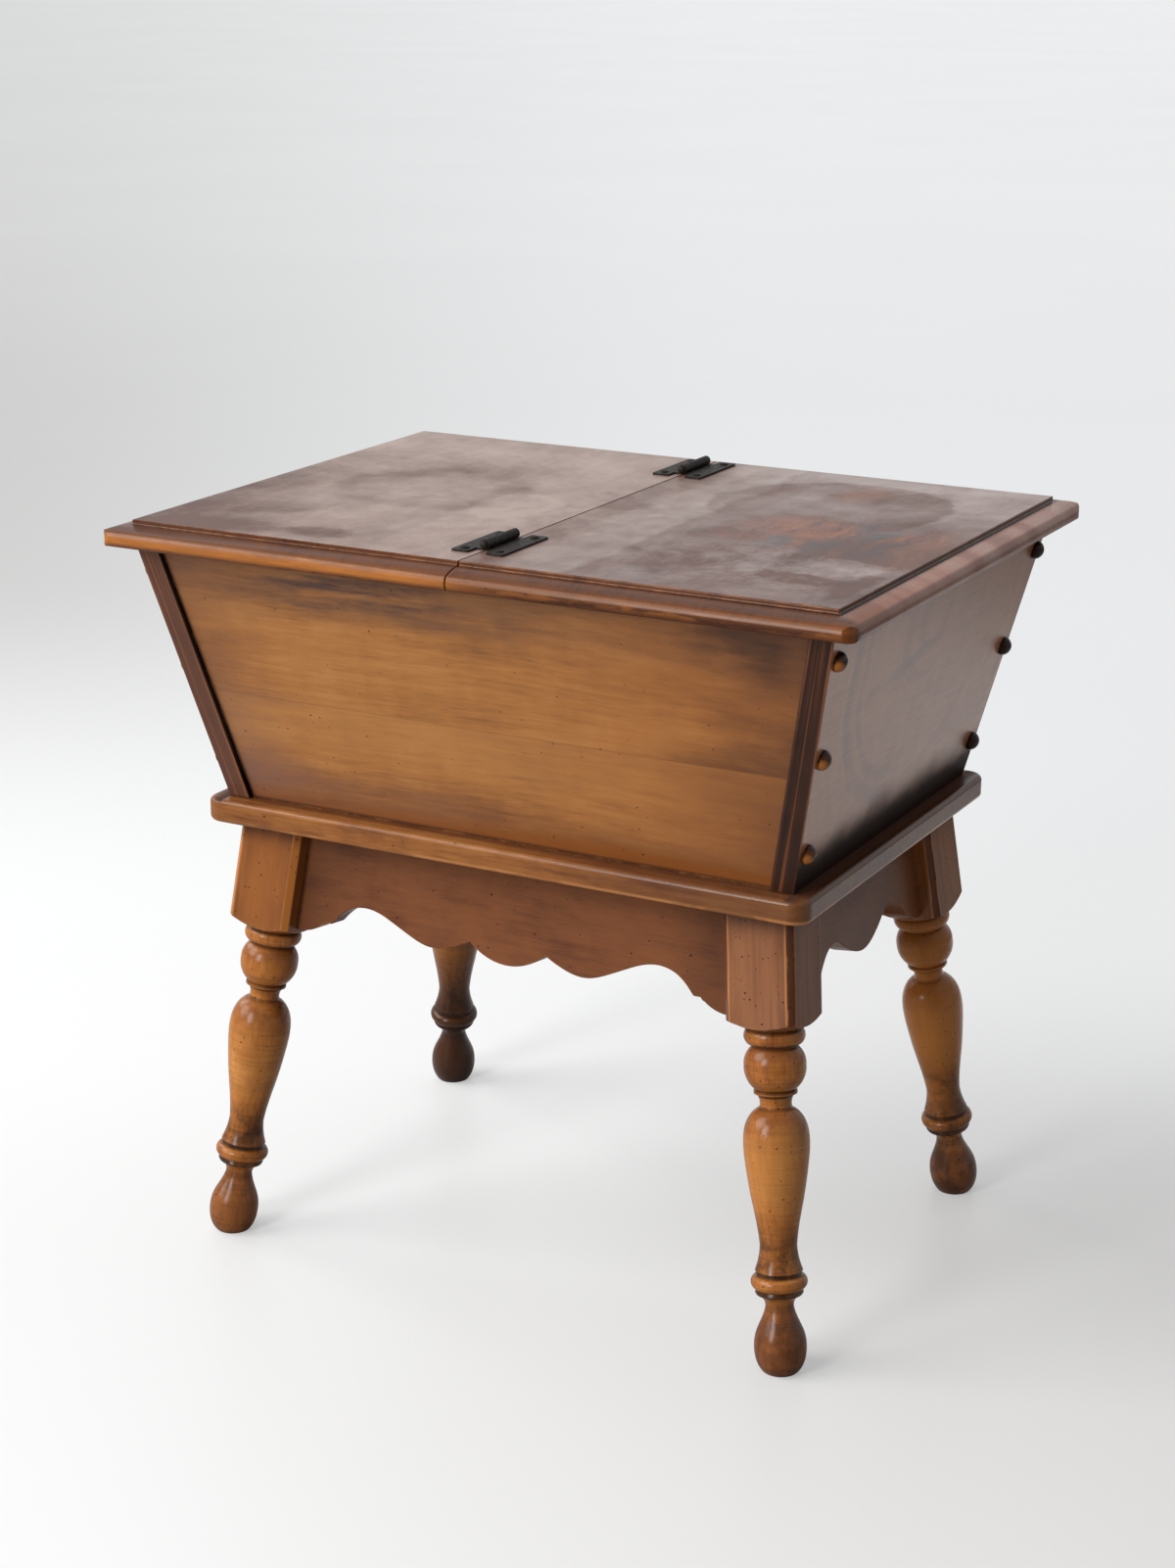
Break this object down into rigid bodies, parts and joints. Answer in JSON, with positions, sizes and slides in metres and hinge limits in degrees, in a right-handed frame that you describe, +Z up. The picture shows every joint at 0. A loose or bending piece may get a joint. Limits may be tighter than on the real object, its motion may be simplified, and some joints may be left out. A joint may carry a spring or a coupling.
{
  "type": "sugar chest",
  "caption": "Slope-sided lidded sugar chest with a moulded half-opening lid on surface hinges, a scalloped apron and splayed turned legs.",
  "frame": {"origin": "on the floor, under the middle of the chest", "axes": "+X to the right along the length, the front faces -Y, +Z up"},
  "size_m": [0.688, 0.512, 0.6679],
  "materials": {
    "lid": "satin lacquer, bloomed and water stained on top",
    "box": "satin lacquered maple with darker shaded edges",
    "platform": "satin lacquered maple",
    "apron": "satin lacquered maple, redder brown",
    "leg": "satin lacquered turned maple with dark glaze in the grooves",
    "button": "satin dark lacquered turned wood",
    "inner_wood": "bare planed wood",
    "hinge_iron": "black hammered iron with a slight sheen",
    "screw_steel": "zinc plated steel"
  },
  "bodies": {
    "chest": {"lid_fixed": "lid", "box_front_board": "box", "box_rear_board": "box", "box_left_end": "box", "box_right_end": "box", "platform": "platform", "apron_front": "apron", "apron_rear": "apron", "apron_left": "apron", "apron_right": "apron", "leg_front_left": "leg", "leg_front_right": "leg", "leg_rear_left": "leg", "leg_rear_right": "leg", "buttons_left": "button", "buttons_right": "button", "brace_front_left": "inner_wood", "brace_front_right": "inner_wood", "brace_rear_left": "inner_wood", "brace_rear_right": "inner_wood", "lid_block_front": "inner_wood", "lid_block_rear": "inner_wood", "lid_block_left": "inner_wood", "hinge_front_leaf_fixed": "hinge_iron", "hinge_front_pin": "hinge_iron", "hinge_rear_leaf_fixed": "hinge_iron", "hinge_rear_pin": "hinge_iron", "hinge_screws_fixed": "hinge_iron", "end_screws_left": "screw_steel", "end_screws_right": "screw_steel", "platform_screws": "screw_steel", "brace_screws": "screw_steel", "brace_bolts": "screw_steel", "lid_block_screws": "screw_steel"},
    "lid": {"lid_hinged": "lid", "hinge_front_leaf_moving": "hinge_iron", "hinge_rear_leaf_moving": "hinge_iron", "hinge_screws_moving": "hinge_iron"}
  },
  "joints": [
    {"name": "lid_hinge", "type": "hinge", "parent": "chest", "child": "lid", "pos_m": [-0.0043, 0, 0.66365], "axis": [0, -1, 0], "range_deg": [0, 180]}
  ]
}
